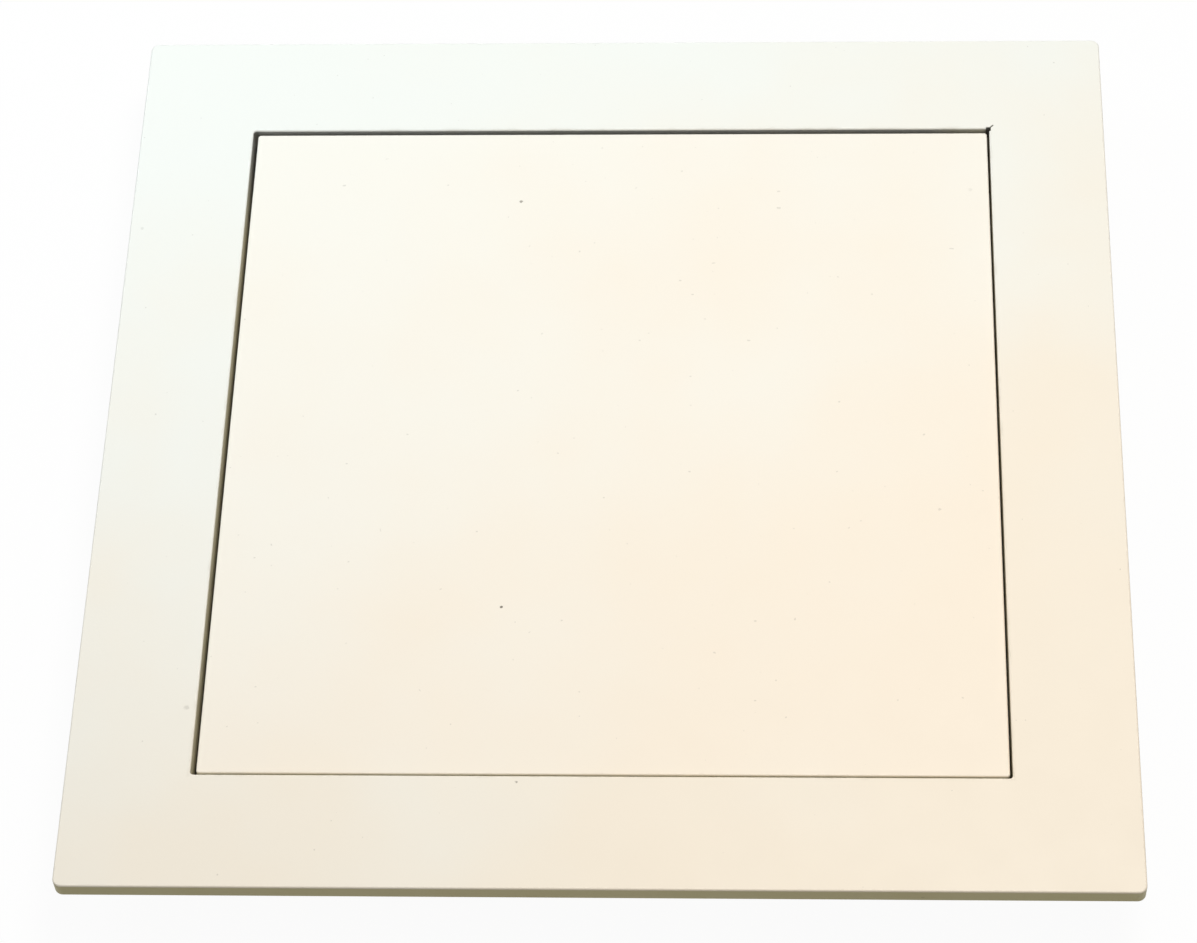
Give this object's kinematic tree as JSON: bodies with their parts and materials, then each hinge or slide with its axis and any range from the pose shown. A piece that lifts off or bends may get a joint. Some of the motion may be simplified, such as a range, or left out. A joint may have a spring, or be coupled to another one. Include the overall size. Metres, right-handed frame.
{
  "type": "ceiling access panel",
  "caption": "Square folded-steel ceiling access panel with a wide flat border and a flush push-to-open door on concealed pivots.",
  "frame": {"origin": "centre of the collar's rear rim, on which the panel lies face up", "axes": "+Z out of the visible face, +X from the hinge side to the latch side, -Y towards the viewer of the picture"},
  "size_m": [0.595, 0.595, 0.055],
  "materials": {
    "white_coat": "fine satin powder coat, warm white",
    "coated_rail": "thin powder coat over galvanised sheet",
    "zinc_sheet": "galvanised sheet with faint spangle",
    "rivet_aluminium": "plain aluminium blind rivet",
    "plated_steel": "bright zinc plating",
    "foam": "closed-cell foam strip",
    "nylon": "natural nylon",
    "latch_plastic": "moulded plastic, pale grey",
    "plunger_plastic": "moulded plastic, mid grey",
    "spring_steel": "drawn spring wire",
    "magnet": "nickel-plated disc magnet"
  },
  "bodies": {
    "frame": {"face_frame": "white_coat", "collar_rail_right": "coated_rail", "collar_rail_back": "coated_rail", "collar_rail_left": "coated_rail", "collar_rail_front": "coated_rail", "corner_cleat_back_right": "zinc_sheet", "corner_cleat_back_left": "zinc_sheet", "corner_cleat_front_left": "zinc_sheet", "corner_cleat_front_right": "zinc_sheet", "cleat_rivets": "rivet_aluminium", "stop_angle_right": "zinc_sheet", "stop_angle_back": "zinc_sheet", "stop_angle_front": "zinc_sheet", "stop_rivets": "rivet_aluminium", "seal_strip_right": "foam", "seal_strip_back": "foam", "seal_strip_front": "foam", "pivot_bush_front": "nylon", "pivot_bush_back": "nylon", "latch_bracket_front": "zinc_sheet", "latch_bracket_back": "zinc_sheet", "bracket_rivets": "rivet_aluminium", "latch_housing_front": "latch_plastic", "latch_housing_back": "latch_plastic", "latch_cap_front": "latch_plastic", "latch_cap_back": "latch_plastic", "latch_spring_front": "spring_steel", "latch_spring_back": "spring_steel", "latch_follower_front": "spring_steel", "latch_follower_back": "spring_steel", "latch_screws": "plated_steel"},
    "door": {"door_pan": "white_coat", "stiffener_left": "zinc_sheet", "stiffener_right": "zinc_sheet", "pivot_bracket_front": "zinc_sheet", "pivot_bracket_back": "zinc_sheet", "strike_front": "zinc_sheet", "strike_back": "zinc_sheet", "pin_spring_front": "spring_steel", "pin_spring_back": "spring_steel"},
    "pin_front": {"pivot_pin_front": "plated_steel", "pin_clip_front": "spring_steel"},
    "pin_back": {"pivot_pin_back": "plated_steel", "pin_clip_back": "spring_steel"},
    "plunger_front": {"latch_plunger_front": "plunger_plastic", "latch_magnet_front": "magnet"},
    "plunger_back": {"latch_plunger_back": "plunger_plastic", "latch_magnet_back": "magnet"}
  },
  "joints": [
    {"name": "door_swing", "type": "hinge", "parent": "frame", "child": "door", "pos_m": [-0.2106, 0, 0.045], "axis": [0, -1, 0], "range_deg": [0, 100]},
    {"name": "pin_front_draw", "type": "slide", "parent": "door", "child": "pin_front", "axis": [0, 1, 0], "range_m": [0, 0.009], "stiffness_N_per_m": 500, "springref_m": -0.006, "deforming": ["pin_spring_front"]},
    {"name": "pin_back_draw", "type": "slide", "parent": "door", "child": "pin_back", "axis": [0, -1, 0], "range_m": [0, 0.009], "stiffness_N_per_m": 500, "springref_m": -0.006, "deforming": ["pin_spring_back"]},
    {"name": "plunger_front_press", "type": "slide", "parent": "frame", "child": "plunger_front", "axis": [0, 0, -1], "range_m": [0, 0.0035], "stiffness_N_per_m": 800, "springref_m": -0.006, "deforming": ["latch_spring_front"]},
    {"name": "plunger_back_press", "type": "slide", "parent": "frame", "child": "plunger_back", "axis": [0, 0, -1], "range_m": [0, 0.0035], "stiffness_N_per_m": 800, "springref_m": -0.006, "deforming": ["latch_spring_back"]}
  ]
}
